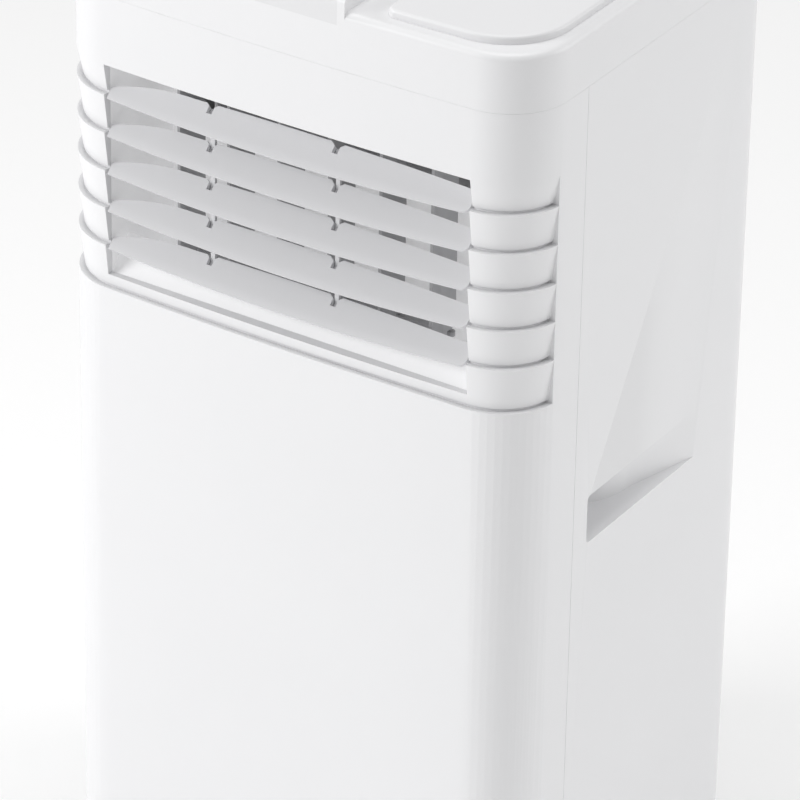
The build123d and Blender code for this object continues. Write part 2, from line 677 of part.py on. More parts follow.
def scroll_face(centre_x, centre_z, radius, mouth, top, shrink):
    """Scroll profile in the XZ plane: a round drum with a straight mouth going up."""
    with BuildSketch() as profile:
        with Locations((centre_x, centre_z)):
            Circle(radius - shrink)
        with Locations(((mouth[0] + mouth[1]) / 2, (centre_z + top) / 2)):
            Rectangle(mouth[1] - mouth[0] - 2 * shrink, top - centre_z - 2 * shrink)
    return profile.sketch


def scroll_shell(centre_x, centre_z, radius, mouth, top, ys):
    """Hollow scroll housing between two Y planes."""
    depth = ys[1] - ys[0]
    with BuildPart() as shell:
        with BuildSketch(Plane.XZ.offset(-ys[1])):
            add(scroll_face(centre_x, centre_z, radius, mouth, top, 0))
        extrude(amount=depth)
        with BuildSketch(Plane.XZ.offset(-ys[1] + SHEET)):
            add(scroll_face(centre_x, centre_z, radius, mouth, top, SHEET))
        extrude(amount=depth - 2 * SHEET, mode=Mode.SUBTRACT)
    return shell.part


with BuildPart() as evaporator_scroll:
    add(scroll_shell(0, COLD_FAN_Z, COLD_SCROLL_R, (-100.0, 100.0), 612.0, COLD_SCROLL_Y))
    add(rod((0, COLD_SCROLL_Y[1] - 5, COLD_FAN_Z), (0, 1, 0), 68.0, 10.0), mode=Mode.SUBTRACT)
    add(rod((0, COLD_SCROLL_Y[0] - 3, COLD_FAN_Z), (0, 1, 0), 7.0, 10.0), mode=Mode.SUBTRACT)
    add(block((-100, 100), (FRAME_REAR + 2, COLD_SCROLL_Y[0] + 1), (DUCT_BOTTOM - 2, 612.0)))
    add(
        block((-98, 98), (FRAME_REAR, COLD_SCROLL_Y[0] + 5), (DUCT_BOTTOM, 610.0)),
        mode=Mode.SUBTRACT,
    )
save(evaporator_scroll.part, "evaporator_scroll")


def fan_wheel(x, z, radius, ys, blades, shaft_r):
    """Centrifugal wheel: back plate with hub at the front, blade ring, and end hoop."""
    depth = ys[1] - ys[0]
    with BuildPart() as wheel:
        add(rod((x, ys[0], z), (0, 1, 0), radius, 2.0))
        add(rod((x, ys[0], z), (0, 1, 0), 14.0, 22.0))
        with BuildSketch(Plane(origin=(x, ys[1] - 3, z), z_dir=(0, 1, 0))):
            Circle(radius)
            Circle(radius - 13, mode=Mode.SUBTRACT)
        extrude(amount=3.0)
        with BuildSketch(Plane(origin=(x, ys[0] + 1, z), z_dir=(0, 1, 0))):
            with PolarLocations(radius - 7, blades):
                Rectangle(12.0, 1.6, rotation=35)
        extrude(amount=depth - 2)
        add(rod((x, ys[0] - 1, z), (0, 1, 0), shaft_r + RUN_FIT, 24.0), mode=Mode.SUBTRACT)
    return wheel.part


def fan_motor(x, z, radius, ys, shaft_end, shaft_r):
    """Fan motor: ribbed can, mounting flange and shaft."""
    with BuildPart() as motor:
        add(rod((x, ys[0], z), (0, 1, 0), radius, ys[1] - ys[0]))
        add(rod((x, ys[1] - 3, z), (0, 1, 0), radius + 6, 3.0))
        add(rod((x, ys[1], z), (0, 1, 0), shaft_r, shaft_end - ys[1]))
    return motor.part


SHAFT_R = 4.0
save(fan_wheel(0, COLD_FAN_Z, COLD_FAN_R, (0.0, 54.0), 30, SHAFT_R), "evaporator_wheel")
save(fan_motor(0, COLD_FAN_Z, 38.0, (-56.0, -6.0), 22.0, SHAFT_R), "evaporator_motor")


EVAP_XS = (-134.0, 134.0)
EVAP_YS = (84.0, 110.0)
EVAP_ZS = (346.0, 626.0)
COND_XS = (-146.0, 146.0)
COND_YS = (98.0, 122.0)
COND_ZS = (74.0, 178.0)


def coil_piece(xs, ys, zs, bends):
    """Heat exchanger: fin pack, end plates, and return bends standing out of the plates."""
    mid_y = (ys[0] + ys[1]) / 2
    step = (zs[1] - zs[0]) / bends
    tube_r = 3.5
    with BuildPart() as coil:
        add(block(xs, ys, zs))
        for x in xs:
            add(block((x - 1, x + 1), (ys[0] - 3, ys[1] + 3), zs))
        for side, x in zip((-1, 1), xs):
            for k in range(bends):
                z = zs[0] + step * (k + 0.5)
                with BuildSketch(Plane(origin=(x, mid_y, z - step / 4), z_dir=(side, 0, 0))):
                    Circle(tube_r)
                revolve(axis=Axis((x, mid_y, z), (0, side, 0)), revolution_arc=-180)
    return coil.part


save(coil_piece(EVAP_XS, EVAP_YS, EVAP_ZS, 10), "evaporator_coil")
save(coil_piece(COND_XS, COND_YS, COND_ZS, 4), "condenser_coil")

with BuildPart() as drip_tray:
    add(block((-142, 142), (74, 122), (PARTITION_Z + 4, PARTITION_Z + 20)))
    add(block((-140, 140), (76, 120), (PARTITION_Z + 6, PARTITION_Z + 21)), mode=Mode.SUBTRACT)
save(drip_tray.part, "drip_tray")

with BuildPart() as partition:
    add(cabinet_slab(WALL + 3, PARTITION_Z, PARTITION_Z + 3))
    add(block((-128, -108), (-50, -30), (PARTITION_Z - 1, PARTITION_Z + 4)), mode=Mode.SUBTRACT)
save(partition.part, "partition")

# ---- hot section: scroll, wheel, motor, compressor, pipes --------------------
hot_x, hot_z = HOT_FAN_XZ
HOT_SCROLL_Y = (18.0, 84.0)
with BuildPart() as condenser_scroll:
    add(scroll_shell(hot_x, hot_z, 73.0, (0.0, 140.0), 314.0, HOT_SCROLL_Y))
    add(rod((hot_x, HOT_SCROLL_Y[1] - 5, hot_z), (0, 1, 0), 46.0, 10.0), mode=Mode.SUBTRACT)
    add(rod((hot_x, HOT_SCROLL_Y[0] - 3, hot_z), (0, 1, 0), 7.0, 10.0), mode=Mode.SUBTRACT)
    add(rod((hot_x, HOT_SCROLL_Y[1] - 5, EXHAUST_XZ[1]), (0, 1, 0), 60.0, 10.0), mode=Mode.SUBTRACT)
save(condenser_scroll.part, "condenser_scroll")
save(fan_wheel(hot_x, hot_z, HOT_FAN_R, (24.0, 76.0), 24, SHAFT_R), "condenser_wheel")
save(fan_motor(hot_x, hot_z, 36.0, (-36.0, 18.0), 46.0, SHAFT_R), "condenser_motor")

exhaust_x, exhaust_z = EXHAUST_XZ
DUCT_R = 60.0
with BuildPart() as exhaust_collar:
    add(rod((exhaust_x, BACK_Y - 28, exhaust_z), (0, 1, 0), EXHAUST_R + 3, 28.0))
    add(rod((exhaust_x, BACK_Y - WALL - 2, exhaust_z), (0, 1, 0), EXHAUST_R + 6, 2.0))
    add(rod((exhaust_x, HOT_SCROLL_Y[1], exhaust_z), (0, 1, 0), DUCT_R + 2, BACK_Y - 24 - HOT_SCROLL_Y[1]))
    add(rod((exhaust_x, HOT_SCROLL_Y[1] - 1, exhaust_z), (0, 1, 0), DUCT_R, 60.0), mode=Mode.SUBTRACT)
    add(rod((exhaust_x, BACK_Y - 25, exhaust_z), (0, 1, 0), EXHAUST_R, 28.0), mode=Mode.SUBTRACT)
save(exhaust_collar.part, "exhaust_collar")

GUARD_Y = BACK_Y - 25
with BuildPart() as exhaust_guard:
    for ring_r in (DUCT_R - GAP, 47.0, 34.0, 21.0):
        with BuildSketch(Plane(origin=(exhaust_x, GUARD_Y, exhaust_z), z_dir=(0, -1, 0))):
            Circle(ring_r)
            Circle(ring_r - 2.5, mode=Mode.SUBTRACT)
        extrude(amount=3.0)
    add(rod((exhaust_x, GUARD_Y - 3, exhaust_z), (0, 1, 0), 9.0, 3.0))
    for angle in range(0, 180, 45):
        spoke = block((1 - DUCT_R, DUCT_R - 1), (GUARD_Y - 3, GUARD_Y), (-1.2, 1.2))
        turned = spoke.rotate(Axis((0, 0, 0), (0, 1, 0)), angle)
        add(turned.moved(Location((exhaust_x, 0, exhaust_z))))
save(exhaust_guard.part, "exhaust_guard")

comp_x, comp_y = COMPRESSOR_XY
COMP_FOOT_Z = PAN_FLOOR + PAN_THICK
with BuildPart() as compressor:
    add(rod((comp_x, comp_y, COMP_FOOT_Z + 12), (0, 0, 1), 68.0, 2.5))
    add(rod((comp_x, comp_y, COMP_FOOT_Z + 14.5), (0, 0, 1), 52.0, 170.0))
    fillet(compressor.faces().sort_by(Axis.Z)[-1].edges(), 22.0)
    add(rod((comp_x, comp_y, COMP_FOOT_Z + 170), (0, 0, 1), 12.0, 22.0))
    for angle in (90, 210, 330):
        foot_x = comp_x + 60 * cos(radians(angle))
        foot_y = comp_y + 60 * sin(radians(angle))
        add(rod((foot_x, foot_y, COMP_FOOT_Z + 11), (0, 0, 1), 4.2, 5.0), mode=Mode.SUBTRACT)
save(compressor.part, "compressor")

with BuildPart() as compressor_grommets:
    for angle in (90, 210, 330):
        foot_x = comp_x + 60 * cos(radians(angle))
        foot_y = comp_y + 60 * sin(radians(angle))
        add(rod((foot_x, foot_y, COMP_FOOT_Z), (0, 0, 1), 8.0, 12.0))
        add(rod((foot_x, foot_y, COMP_FOOT_Z + 11), (0, 0, 1), 4.0, 4.0))
        add(rod((foot_x, foot_y, COMP_FOOT_Z - 1), (0, 0, 1), 2.0, 18.0), mode=Mode.SUBTRACT)
save(compressor_grommets.part, "compressor_grommets")

with BuildPart() as accumulator:
    add(rod((comp_x - 10, comp_y - 84, COMP_FOOT_Z + 60), (0, 0, 1), 22.0, 120.0))
    fillet(accumulator.edges(), 9.0)
save(accumulator.part, "accumulator")

TUBE_R = 3.5


def tube(points, radius):
    """Copper tube along straight runs joined by bends."""
    with BuildPart() as run:
        with BuildLine() as path:
            FilletPolyline(*points, radius=12.0)
        with BuildSketch(Plane(origin=points[0], z_dir=path.line % 0)):
            Circle(radius)
        sweep()
    return run.part


comp_top = COMP_FOOT_Z + 192
acc_x = comp_x - 10
acc_y = comp_y - 84
riser_x = -118.0
riser_y = -40.0
discharge_route = [
    (comp_x, comp_y, comp_top),
    (comp_x, comp_y, comp_top + 40),
    (comp_x - 50, comp_y, comp_top + 40),
    (comp_x - 50, comp_y + 66, comp_top + 40),
    (comp_x - 50, comp_y + 66, 150),
    (comp_x - 50, COND_YS[0], 150),
]
suction_route = [
    (acc_x, acc_y, COMP_FOOT_Z + 180),
    (acc_x, acc_y, 290),
    (riser_x, acc_y, 290),
    (riser_x, riser_y, 290),
    (riser_x, riser_y, 400),
    (riser_x, EVAP_YS[0], 400),
]
with BuildPart() as refrigerant_pipes:
    add(tube(discharge_route, TUBE_R))
    add(tube(suction_route, TUBE_R))
save(refrigerant_pipes.part, "refrigerant_pipes")

with BuildPart() as electric_box:
    add(block((34, 130), (-126, -80), (345, 445)))
    add(block((36, 128), (-124, -79), (347, 443)), mode=Mode.SUBTRACT)
    add(block((32, 132), (-80, -78), (343, 447)))
save(electric_box.part, "electric_box")

with BuildPart() as run_capacitor:
    add(rod((-60, -100, 345), (0, 0, 1), 18.0, 70.0))
    add(block((-64, -56), (-104, -96), (415, 424)))
    add(block((-80, -40), (-122, -82), (343, 345)))
save(run_capacitor.part, "run_capacitor")

# ---- back: intake grille with its filter, drain, gland and screws -----------
LOUVRE_ROWS = 26
LOUVRE_PITCH = 10.0
GRILLE_THICK = 3.0
filter_mid = (FILTER_Z[0] + FILTER_Z[1]) / 2
with BuildPart() as intake_grille:
    with BuildSketch(Plane.XZ.offset(-BACK_Y + 0.2)):
        with Locations((0, filter_mid)):
            RectangleRounded(2 * FILTER_X, FILTER_Z[1] - FILTER_Z[0], 4.0)
        with Locations((0, filter_mid)):
            with GridLocations(78.0, LOUVRE_PITCH, 3, LOUVRE_ROWS):
                SlotOverall(70.0, 5.5, mode=Mode.SUBTRACT)
    extrude(amount=GRILLE_THICK)
    for side in (-1, 1):
        add(rod((side * (FILTER_X - 4), BACK_Y - 2.4, HINGE_Z), (side, 0, 0), 1.0, 8.0))
save(intake_grille.part, "intake_grille")

with BuildPart() as air_filter:
    with BuildSketch(Plane.XZ.offset(-BACK_Y + 0.2 + GRILLE_THICK)):
        with Locations((0, filter_mid + 4)):
            RectangleRounded(2 * FILTER_X - 14, FILTER_Z[1] - FILTER_Z[0] - 18, 3.0)
    extrude(amount=3.5)
save(air_filter.part, "air_filter")

drain_x, drain_z = DRAIN_XZ
with BuildPart() as drain_spout:
    add(rod((drain_x, BACK_Y - 22, drain_z), (0, 1, 0), 8.0, 22.0))
    add(rod((drain_x, BACK_Y - 22, drain_z), (0, 1, 0), 11.0, 3.0))
    add(rod((drain_x, BACK_Y - 23, drain_z), (0, 1, 0), DRAIN_R, 24.0), mode=Mode.SUBTRACT)
    add(rod((drain_x, BACK_Y - 4, drain_z), (0, 1, 0), 6.6, 5.0), mode=Mode.SUBTRACT)
save(drain_spout.part, "drain_spout")

with BuildPart() as drain_plug:
    add(rod((drain_x, BACK_Y - 14, drain_z), (0, 1, 0), DRAIN_R - 0.05, 11.0))
    add(rod((drain_x, BACK_Y - 4, drain_z), (0, 1, 0), 6.2, 4.0))
save(drain_plug.part, "drain_plug")

gland_x, gland_z = GLAND_XZ
with BuildPart() as cord_gland:
    add(rod((gland_x, BACK_Y - 10, gland_z), (0, 1, 0), 7.8, 10.0))
    add(rod((gland_x, BACK_Y - WALL - 3, gland_z), (0, 1, 0), 11.0, 3.0))
    add(rod((gland_x, BACK_Y - 11, gland_z), (0, 1, 0), 4.0, 12.0), mode=Mode.SUBTRACT)
save(cord_gland.part, "cord_gland")

with BuildPart() as back_screws:
    for x, z in SCREW_XZ:
        add(rod((x, BACK_Y - 2.6, z), (0, 1, 0), 3.8, 1.8))
        add(rod((x, BACK_Y - 12, z), (0, 1, 0), 1.5, 10.0))
        add(block((x - 2.4, x + 2.4), (BACK_Y - 1.6, BACK_Y), (z - 0.5, z + 0.5)), mode=Mode.SUBTRACT)
        add(block((x - 0.5, x + 0.5), (BACK_Y - 1.6, BACK_Y), (z - 2.4, z + 2.4)), mode=Mode.SUBTRACT)
save(back_screws.part, "back_screws")

# ---- swivel casters: fork with stem, and wheel on its axle ------------------
CHEEK_INNER = WHEEL_WIDTH / 2 + 0.4
for place, (stem_x, stem_y) in CASTER_XY.items():
    axle_y = stem_y + WHEEL_TRAIL
    with BuildPart() as caster_fork:
        add(rod((stem_x, stem_y, CROWN_Z), (0, 0, 1), 14.0, PAN_FLOOR - GAP - CROWN_Z))
        add(rod((stem_x, stem_y, CROWN_Z), (0, 0, 1), STEM_R, PAN_FLOOR + 18 - CROWN_Z))
        for side in (-1, 1):
            cheek_x = stem_x + side * (CHEEK_INNER + FORK_CHEEK / 2)
            with BuildSketch(Plane.YZ.offset(cheek_x - FORK_CHEEK / 2)):
                with BuildLine():
                    Polyline(
                        (stem_y - 9, CROWN_Z + 3),
                        (stem_y + 11, CROWN_Z + 3),
                        (axle_y + 6, WHEEL_R),
                        (axle_y - 6, WHEEL_R),
                        close=True,
                    )
                make_face()
                with Locations((axle_y, WHEEL_R)):
                    Circle(6.0)
            extrude(amount=FORK_CHEEK)
        axle_length = 2 * (CHEEK_INNER + FORK_CHEEK)
        add(rod((stem_x - axle_length / 2, axle_y, WHEEL_R), (1, 0, 0), AXLE_R, axle_length))
    save(caster_fork.part, f"caster_fork_{place}")

    with BuildPart() as caster_wheel:
        wheel_start = (stem_x - WHEEL_WIDTH / 2, axle_y, WHEEL_R)
        add(rod(wheel_start, (1, 0, 0), WHEEL_R, WHEEL_WIDTH))
        fillet(caster_wheel.edges(), 2.0)
        for side in (-1, 1):
            recess_start = (stem_x + side * WHEEL_WIDTH / 2, axle_y, WHEEL_R)
            with BuildSketch(Plane(origin=recess_start, z_dir=(-side, 0, 0))):
                Circle(11.0)
                Circle(5.0, mode=Mode.SUBTRACT)
            extrude(amount=3.0, mode=Mode.SUBTRACT)
        bore_start = (stem_x - WHEEL_WIDTH, axle_y, WHEEL_R)
        add(rod(bore_start, (1, 0, 0), AXLE_R + RUN_FIT, 2 * WHEEL_WIDTH), mode=Mode.SUBTRACT)
    save(caster_wheel.part, f"caster_wheel_{place}")
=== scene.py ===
import bmesh
import bpy
from math import cos, pi, radians, sin
from mathutils import Matrix, Vector
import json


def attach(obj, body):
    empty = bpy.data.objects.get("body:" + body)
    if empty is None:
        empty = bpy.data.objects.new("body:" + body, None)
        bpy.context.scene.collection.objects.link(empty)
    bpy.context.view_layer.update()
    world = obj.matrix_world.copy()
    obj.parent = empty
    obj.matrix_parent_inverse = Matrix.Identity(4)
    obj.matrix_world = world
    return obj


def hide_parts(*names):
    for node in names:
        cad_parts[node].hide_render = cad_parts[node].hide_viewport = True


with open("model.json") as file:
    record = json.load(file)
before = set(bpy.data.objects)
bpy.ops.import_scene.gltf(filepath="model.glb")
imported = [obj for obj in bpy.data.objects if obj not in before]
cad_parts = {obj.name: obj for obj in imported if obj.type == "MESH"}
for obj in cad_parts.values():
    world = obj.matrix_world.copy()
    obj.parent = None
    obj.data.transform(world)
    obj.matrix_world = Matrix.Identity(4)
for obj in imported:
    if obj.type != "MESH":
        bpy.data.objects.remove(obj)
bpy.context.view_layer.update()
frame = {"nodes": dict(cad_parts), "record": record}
scene = bpy.context.scene
nodes = frame["nodes"]
body_of = {}
for body_name, member_nodes in frame["record"]["behaviour"]["bodies"].items():
    for member in member_nodes:
        body_of[member] = body_name

# ---- Base pan ---------------------------------------------------------------
# The tray that carries everything: one injection moulding in light grey plastic,
# with a skirt that hides the caster crowns.


def link_piece(name, bm, material):
    """Turn a finished bmesh into an object at the origin, with its material."""
    mesh = bpy.data.meshes.new(name)
    bm.to_mesh(mesh)
    bm.free()
    mesh.materials.append(material)
    piece = bpy.data.objects.new(name, mesh)
    scene.collection.objects.link(piece)
    return piece


MERGE_DISTANCE = 0.00001
FLAT_ANGLE = radians(0.4)
CREASE_ANGLE = radians(32)
SEAM_REACH = 0.001


def moulded(node, material, edge, segments=3, seam=None, seam_share=0.2):
    """A piece with the shape of a node, its edges rounded as a mould leaves them.

    Edges near the height named by seam meet another moulding and stay crisper.
    """
    bm = bmesh.new()
    bm.from_mesh(nodes[node].data)
    bmesh.ops.remove_doubles(bm, verts=bm.verts, dist=MERGE_DISTANCE)
    bmesh.ops.dissolve_limit(bm, angle_limit=FLAT_ANGLE, verts=bm.verts, edges=bm.edges)
    for face in bm.faces:
        face.smooth = True
    weight = bm.edges.layers.float.new("bevel_weight_edge")
    for rim in bm.edges:
        if len(rim.link_faces) == 2 and rim.calc_face_angle() > CREASE_ANGLE:
            middle_z = (rim.verts[0].co.z + rim.verts[1].co.z) / 2
            at_seam = seam and abs(middle_z - seam) < SEAM_REACH
            rim[weight] = seam_share if at_seam else 1.0
    piece = link_piece(node + "_skin", bm, material)
    piece.data.set_sharp_from_angle(angle=CREASE_ANGLE)
    rounding = piece.modifiers.new("rounding", "BEVEL")
    rounding.width = edge
    rounding.segments = segments
    rounding.limit_method = "WEIGHT"
    rounding.harden_normals = True
    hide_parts(node)
    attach(piece, body_of[node])
    return piece


def moulding_group():
    """Shader group: the cloudy tone, gloss and fine grain of a moulded plastic skin."""
    group = bpy.data.node_groups.new("MouldedSkin", "ShaderNodeTree")
    face = group.interface
    for label, kind, value in (
        ("Tone", "NodeSocketColor", (0.8, 0.8, 0.8, 1)),
        ("Shade", "NodeSocketColor", (0.75, 0.75, 0.75, 1)),
        ("Cloud Scale", "NodeSocketFloat", 9.0),
        ("Grain Scale", "NodeSocketFloat", 1400.0),
        ("Gloss Low", "NodeSocketFloat", 0.3),
        ("Gloss High", "NodeSocketFloat", 0.45),
    ):
        face.new_socket(label, in_out="INPUT", socket_type=kind).default_value = value
    face.new_socket("Color", in_out="OUTPUT", socket_type="NodeSocketColor")
    face.new_socket("Roughness", in_out="OUTPUT", socket_type="NodeSocketFloat")
    face.new_socket("Height", in_out="OUTPUT", socket_type="NodeSocketFloat")
    tree, link = group.nodes, group.links.new
    given = tree.new("NodeGroupInput")
    made = tree.new("NodeGroupOutput")
    place = tree.new("ShaderNodeTexCoord")
    cloud = tree.new("ShaderNodeTexNoise")
    cloud.inputs["Detail"].default_value = 3
    link(place.outputs["Object"], cloud.inputs["Vector"])
    link(given.outputs["Cloud Scale"], cloud.inputs["Scale"])
    tone = tree.new("ShaderNodeMix")
    tone.data_type = "RGBA"
    link(cloud.outputs["Fac"], tone.inputs["Factor"])
    link(given.outputs["Tone"], tone.inputs[6])
    link(given.outputs["Shade"], tone.inputs[7])
    link(tone.outputs[2], made.inputs["Color"])
    gloss = tree.new("ShaderNodeMapRange")
    gloss.inputs["From Min"].default_value = 0.35
    gloss.inputs["From Max"].default_value = 0.65
    link(cloud.outputs["Fac"], gloss.inputs["Value"])
    link(given.outputs["Gloss Low"], gloss.inputs["To Min"])
    link(given.outputs["Gloss High"], gloss.inputs["To Max"])
    link(gloss.outputs["Result"], made.inputs["Roughness"])
    grain = tree.new("ShaderNodeTexNoise")
    grain.inputs["Detail"].default_value = 2
    link(place.outputs["Object"], grain.inputs["Vector"])
    link(given.outputs["Grain Scale"], grain.inputs["Scale"])
    link(grain.outputs["Fac"], made.inputs["Height"])
    return group


moulded_skin = moulding_group()


def moulded_plastic(name, tone, shade, gloss, grain=1400.0, depth=0.00002, clouds=9.0):
    """Material of one moulded plastic: its colours, gloss range and grain."""
    material = bpy.data.materials.new(name)
    material.use_nodes = True
    tree, link = material.node_tree.nodes, material.node_tree.links.new
    shader = tree["Principled BSDF"]
    skin = tree.new("ShaderNodeGroup")
    skin.node_tree = moulded_skin
    skin.inputs["Tone"].default_value = (*tone, 1)
    skin.inputs["Shade"].default_value = (*shade, 1)
    skin.inputs["Cloud Scale"].default_value = clouds
    skin.inputs["Grain Scale"].default_value = grain
    skin.inputs["Gloss Low"].default_value = gloss[0]
    skin.inputs["Gloss High"].default_value = gloss[1]
    bump = tree.new("ShaderNodeBump")
    bump.inputs["Strength"].default_value = 0.35
    bump.inputs["Distance"].default_value = depth
    link(skin.outputs["Color"], shader.inputs["Base Color"])
    link(skin.outputs["Roughness"], shader.inputs["Roughness"])
    link(skin.outputs["Height"], bump.inputs["Height"])
    link(bump.outputs["Normal"], shader.inputs["Normal"])
    return material


def paint(node, material):
    """Give a node that keeps its own shape its finish."""
    node_mesh = nodes[node].data
    if not node_mesh.materials:
        node_mesh.materials.append(material)
    for index in range(len(node_mesh.materials)):
        node_mesh.materials[index] = material


pan_plastic = moulded_plastic(
    "base_plastic", (0.70, 0.70, 0.71), (0.66, 0.66, 0.67), (0.42, 0.52)
)
moulded("base_pan", pan_plastic, 0.0006)

# ---- Casters ----------------------------------------------------------------
# Four swivel casters: a dark nylon fork on a steel stem, and a rubber-tyred wheel
# on a plain axle.
caster_places = ("front_left", "front_right", "rear_left", "rear_right")
fork_nylon = moulded_plastic(
    "caster_nylon", (0.035, 0.035, 0.038), (0.05, 0.05, 0.052), (0.38, 0.5)
)
tread_rubber = moulded_plastic(
    "caster_rubber", (0.02, 0.02, 0.021), (0.035, 0.034, 0.033), (0.62, 0.78), grain=900.0, depth=0.00006
)
for place in caster_places:
    moulded("caster_fork_" + place, fork_nylon, 0.0004)
    moulded("caster_wheel_" + place, tread_rubber, 0.0003)

# ---- Compressor and its tubes ---------------------------------------------------
# The sealed compressor stands on three rubber feet, in black enamel, with its
# accumulator beside it and drawn copper tubes to the coils.
enamel = moulded_plastic(
    "black_enamel", (0.012, 0.012, 0.013), (0.02, 0.02, 0.02), (0.22, 0.34), grain=260.0
)
foot_rubber = moulded_plastic(
    "black_rubber", (0.018, 0.018, 0.018), (0.03, 0.03, 0.03), (0.6, 0.75), grain=800.0
)


def bare_metal(name, tone, shade, gloss, grain=300.0):
    """Material of a bare metal, cloudy and faintly scratched."""
    material = moulded_plastic(name, tone, shade, gloss, grain=grain, depth=0.00001)
    material.node_tree.nodes["Principled BSDF"].inputs["Metallic"].default_value = 1.0
    return material


copper = bare_metal("copper_tube", (0.72, 0.36, 0.22), (0.55, 0.25, 0.15), (0.25, 0.42))
moulded("compressor", enamel, 0.0005)
moulded("accumulator", enamel, 0.0005)
paint("compressor_grommets", foot_rubber)
paint("refrigerant_pipes", copper)

# ---- Coils ------------------------------------------------------------------
# Both heat exchangers are packs of thin aluminium fins pressed on copper tubes.
# The fins run upright, so the pattern is narrow across and unbroken up and down.
FIN_PITCH = 0.0018
WAVE_RADIANS_PER_UNIT = 20


def fin_pack(name):
    """Material of a fin pack: bright fin edges with painted shade in the gaps between them."""
    material = bare_metal(name, (0.80, 0.81, 0.82), (0.68, 0.69, 0.70), (0.3, 0.45))
    tree, link = material.node_tree.nodes, material.node_tree.links.new
    shader = tree["Principled BSDF"]
    place = tree.new("ShaderNodeTexCoord")
    fins = tree.new("ShaderNodeTexWave")
    fins.bands_direction = "X"
    fins.inputs["Scale"].default_value = 2 * pi / FIN_PITCH / WAVE_RADIANS_PER_UNIT
    # Painted shade: the stripes between the fins are coloured dark, standing in for the shadow inside
    # the coil.
    gap_shade = tree.new("ShaderNodeMix")
    gap_shade.data_type = "RGBA"
    skin_color = shader.inputs["Base Color"].links[0].from_socket
    link(place.outputs["Object"], fins.inputs["Vector"])
    link(fins.outputs["Fac"], gap_shade.inputs["Factor"])
    gap_shade.inputs[6].default_value = (0.12, 0.12, 0.13, 1)
    link(skin_color, gap_shade.inputs[7])
    link(gap_shade.outputs[2], shader.inputs["Base Color"])
    return material


fins = fin_pack("coil_fins")
paint("condenser_coil", fins)
paint("evaporator_coil", fins)

# ---- Scrolls, fan wheels and motors -------------------------------------------
# Grey moulded scrolls round dark moulded fan wheels, each turned by a motor in a
# plated steel can.
scroll_plastic = moulded_plastic(
    "scroll_plastic", (0.62, 0.62, 0.63), (0.57, 0.57, 0.58), (0.45, 0.55)
)
wheel_plastic = moulded_plastic(
    "wheel_plastic", (0.07, 0.072, 0.076), (0.10, 0.10, 0.105), (0.4, 0.5)
)
plated_can = bare_metal("plated_can", (0.52, 0.53, 0.55), (0.44, 0.45, 0.47), (0.28, 0.42))
for node in ("evaporator_scroll", "condenser_scroll", "partition", "drip_tray"):
    paint(node, scroll_plastic)
for node in ("evaporator_wheel", "condenser_wheel"):
    paint(node, wheel_plastic)
for node in ("evaporator_motor", "condenser_motor", "louvre_motor", "run_capacitor"):
    paint(node, plated_can)

# ---- Electric box and control board --------------------------------------------
# A folded zinc-plated box for the wiring, and the printed board under the console.
zinc = bare_metal("zinc_sheet", (0.60, 0.61, 0.63), (0.50, 0.51, 0.53), (0.3, 0.5), grain=90.0)
solder_mask = moulded_plastic(
    "solder_mask", (0.02, 0.16, 0.06), (0.015, 0.12, 0.05), (0.25, 0.35)
)
paint("electric_box", zinc)
paint("back_screws", zinc)
paint("control_board", solder_mask)

# ---- Outlet frame and vanes ----------------------------------------------------
# The white duct behind the front opening. It carries the pins of the louvre blades
# and of the upright vanes that swing the air from side to side. A faint glow stands in
# for the light that bounces about inside it.
duct_white = moulded_plastic("duct_white", (0.80, 0.80, 0.81), (0.77, 0.77, 0.78), (0.4, 0.5))
DUCT_GLOW = 0.2
duct_shader = duct_white.node_tree.nodes["Principled BSDF"]
duct_shader.inputs["Emission Color"].default_value = (1, 1, 1, 1)
duct_shader.inputs["Emission Strength"].default_value = DUCT_GLOW
vane_grey = moulded_plastic("vane_grey", (0.42, 0.42, 0.43), (0.38, 0.38, 0.39), (0.4, 0.5))
moulded("outlet_frame", duct_white, 0.0004)
VANE_COUNT = 6
for number in range(1, VANE_COUNT + 1):
    moulded(f"vane_{number}", vane_grey, 0.0005)
moulded("vane_link", vane_grey, 0.0003)

# ---- Louvre blades and links ----------------------------------------------------
# Five tapered blades on end pins, in white moulded plastic, tied by two link rods
# that clip into notches at their rear edges.
blade_white = moulded_plastic(
    "blade_white", (0.73, 0.73, 0.745), (0.70, 0.70, 0.715), (0.34, 0.44)
)
BLADE_COUNT = 5
for number in range(1, BLADE_COUNT + 1):
    moulded(f"louvre_blade_{number}", blade_white, 0.0005)
for side in ("left", "right"):
    moulded("louvre_link_" + side, blade_white, 0.0003)

# ---- Front panel and rear housing -----------------------------------------------
# Two large mouldings in satin white: the bowed front with its stepped louvre zone,
# and the sides and back in one piece, with a handle scoop in each side.
shell_white = moulded_plastic(
    "shell_white", (0.86, 0.86, 0.87), (0.84, 0.84, 0.85), (0.3, 0.36), depth=0.00001
)
TOP_SEAM = 0.649
moulded("front_panel", shell_white, 0.0006, seam=TOP_SEAM)
moulded("rear_housing", shell_white, 0.0006, seam=TOP_SEAM)

# ---- Intake grille and filter -----------------------------------------------------
# The slotted grille at the back swings out, and carries a woven nylon filter.
grille_white = moulded_plastic(
    "grille_white", (0.84, 0.84, 0.85), (0.81, 0.81, 0.82), (0.38, 0.46)
)
moulded("intake_grille", grille_white, 0.0004, segments=2)
filter_mesh = moulded_plastic(
    "filter_mesh", (0.05, 0.055, 0.06), (0.08, 0.085, 0.09), (0.7, 0.85), grain=700.0
)
paint("air_filter", filter_mesh)

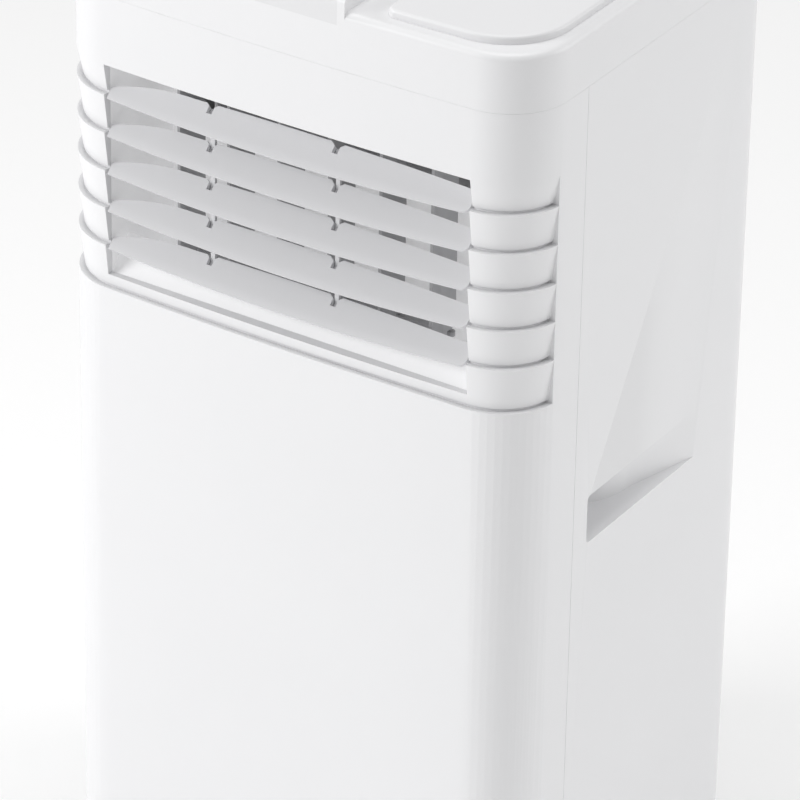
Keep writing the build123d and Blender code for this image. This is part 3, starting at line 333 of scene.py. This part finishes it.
# ---- Exhaust collar, drain and cord gland -------------------------------------------
# The white collar takes the hose adapter, with a guard across its duct. The drain
# spout is shut by a rubber plug, and a rubber gland marks where a mains lead would leave.
moulded("exhaust_collar", grille_white, 0.0005)
moulded("exhaust_guard", grille_white, 0.0003)
moulded("drain_spout", grille_white, 0.0003)
moulded("drain_plug", foot_rubber, 0.0003)
moulded("cord_gland", foot_rubber, 0.0003)

# ---- Top cover, deck and console ------------------------------------------------------
# The top cover closes the shells with a rounded rim and carries the console tongue.
# The raised deck plate lies on it, with a channel left round the console.
deck_white = moulded_plastic("deck_white", (0.84, 0.84, 0.85), (0.82, 0.82, 0.83), (0.34, 0.42))
overlay_white = moulded_plastic(
    "overlay_white", (0.80, 0.80, 0.81), (0.78, 0.78, 0.79), (0.4, 0.5)
)
smoked_window = moulded_plastic(
    "smoked_window", (0.02, 0.022, 0.026), (0.026, 0.028, 0.03), (0.08, 0.12)
)
moulded("top_cover", shell_white, 0.0006, seam=TOP_SEAM)
moulded("deck_panel", deck_white, 0.0004)
moulded("control_overlay", overlay_white, 0.0001, segments=1)
moulded("display_window", smoked_window, 0.0002)
BUTTON_COUNT = 4
for number in range(1, BUTTON_COUNT + 1):
    moulded(f"console_button_{number}", overlay_white, 0.0003)

# ---- Floor, light and camera ------------------------------------------------------------
# A plain pale floor in a white studio: a soft key from the left front, a second soft
# light from the right rear, and an even white surround.
FLOOR_SIZE = 12.0
FLOOR_GLOW = 0.16
SURROUND_STRENGTH = 0.45
floor_bm = bmesh.new()
bmesh.ops.create_grid(floor_bm, x_segments=1, y_segments=1, size=FLOOR_SIZE)
floor_pale = moulded_plastic(
    "floor_pale", (0.90, 0.90, 0.90), (0.89, 0.89, 0.89), (0.6, 0.7), clouds=0.5
)
floor_shader = floor_pale.node_tree.nodes["Principled BSDF"]
floor_shader.inputs["Emission Color"].default_value = (1, 1, 1, 1)
floor_shader.inputs["Emission Strength"].default_value = FLOOR_GLOW
floor = link_piece("floor", floor_bm, floor_pale)

world = bpy.data.worlds.new("studio")
world.use_nodes = True
scene.world = world
surround = world.node_tree.nodes["Background"]
surround.inputs["Color"].default_value = (1, 1, 1, 1)
surround.inputs["Strength"].default_value = SURROUND_STRENGTH


def softbox(name, place, target, size, power):
    """A large soft light at a place, turned towards a target."""
    lamp = bpy.data.lights.new(name, "AREA")
    lamp.shape = "SQUARE"
    lamp.size = size
    lamp.energy = power
    lamp_object = bpy.data.objects.new(name, lamp)
    scene.collection.objects.link(lamp_object)
    lamp_object.location = place
    aim = Vector(target) - Vector(place)
    lamp_object.rotation_euler = aim.to_track_quat("-Z", "Y").to_euler()


middle = (0, 0, 0.4)
softbox("key_left_front", (-2.4, -2.6, 1.8), middle, 1.6, 66)
softbox("fill_right_rear", (2.8, 1.9, 1.6), middle, 1.6, 26)
softbox("top_light", (0, 0.2, 3.2), middle, 1.8, 28)

CAMERA_PLACE = (1.62513, -2.54752, 2.09422)
CAMERA_YAW = radians(32.628)
CAMERA_PITCH = radians(29.907)
CAMERA_ROLL = radians(1.051)
LENS_MM = 257.85
camera_data = bpy.data.cameras.new("camera")
camera_data.lens = LENS_MM
camera_data.sensor_width = 36.0
camera = bpy.data.objects.new("camera", camera_data)
scene.collection.objects.link(camera)
ahead = Vector((
    -sin(CAMERA_YAW) * cos(CAMERA_PITCH),
    cos(CAMERA_YAW) * cos(CAMERA_PITCH),
    -sin(CAMERA_PITCH),
))
level_right = Vector((cos(CAMERA_YAW), sin(CAMERA_YAW), 0))
level_up = level_right.cross(ahead)
right = cos(CAMERA_ROLL) * level_right + sin(CAMERA_ROLL) * level_up
up = cos(CAMERA_ROLL) * level_up - sin(CAMERA_ROLL) * level_right
turn = Matrix((right, up, -ahead)).transposed().to_4x4()
camera.matrix_world = Matrix.Translation(CAMERA_PLACE) @ turn
scene.camera = camera
scene.view_settings.view_transform = "Standard"

import json
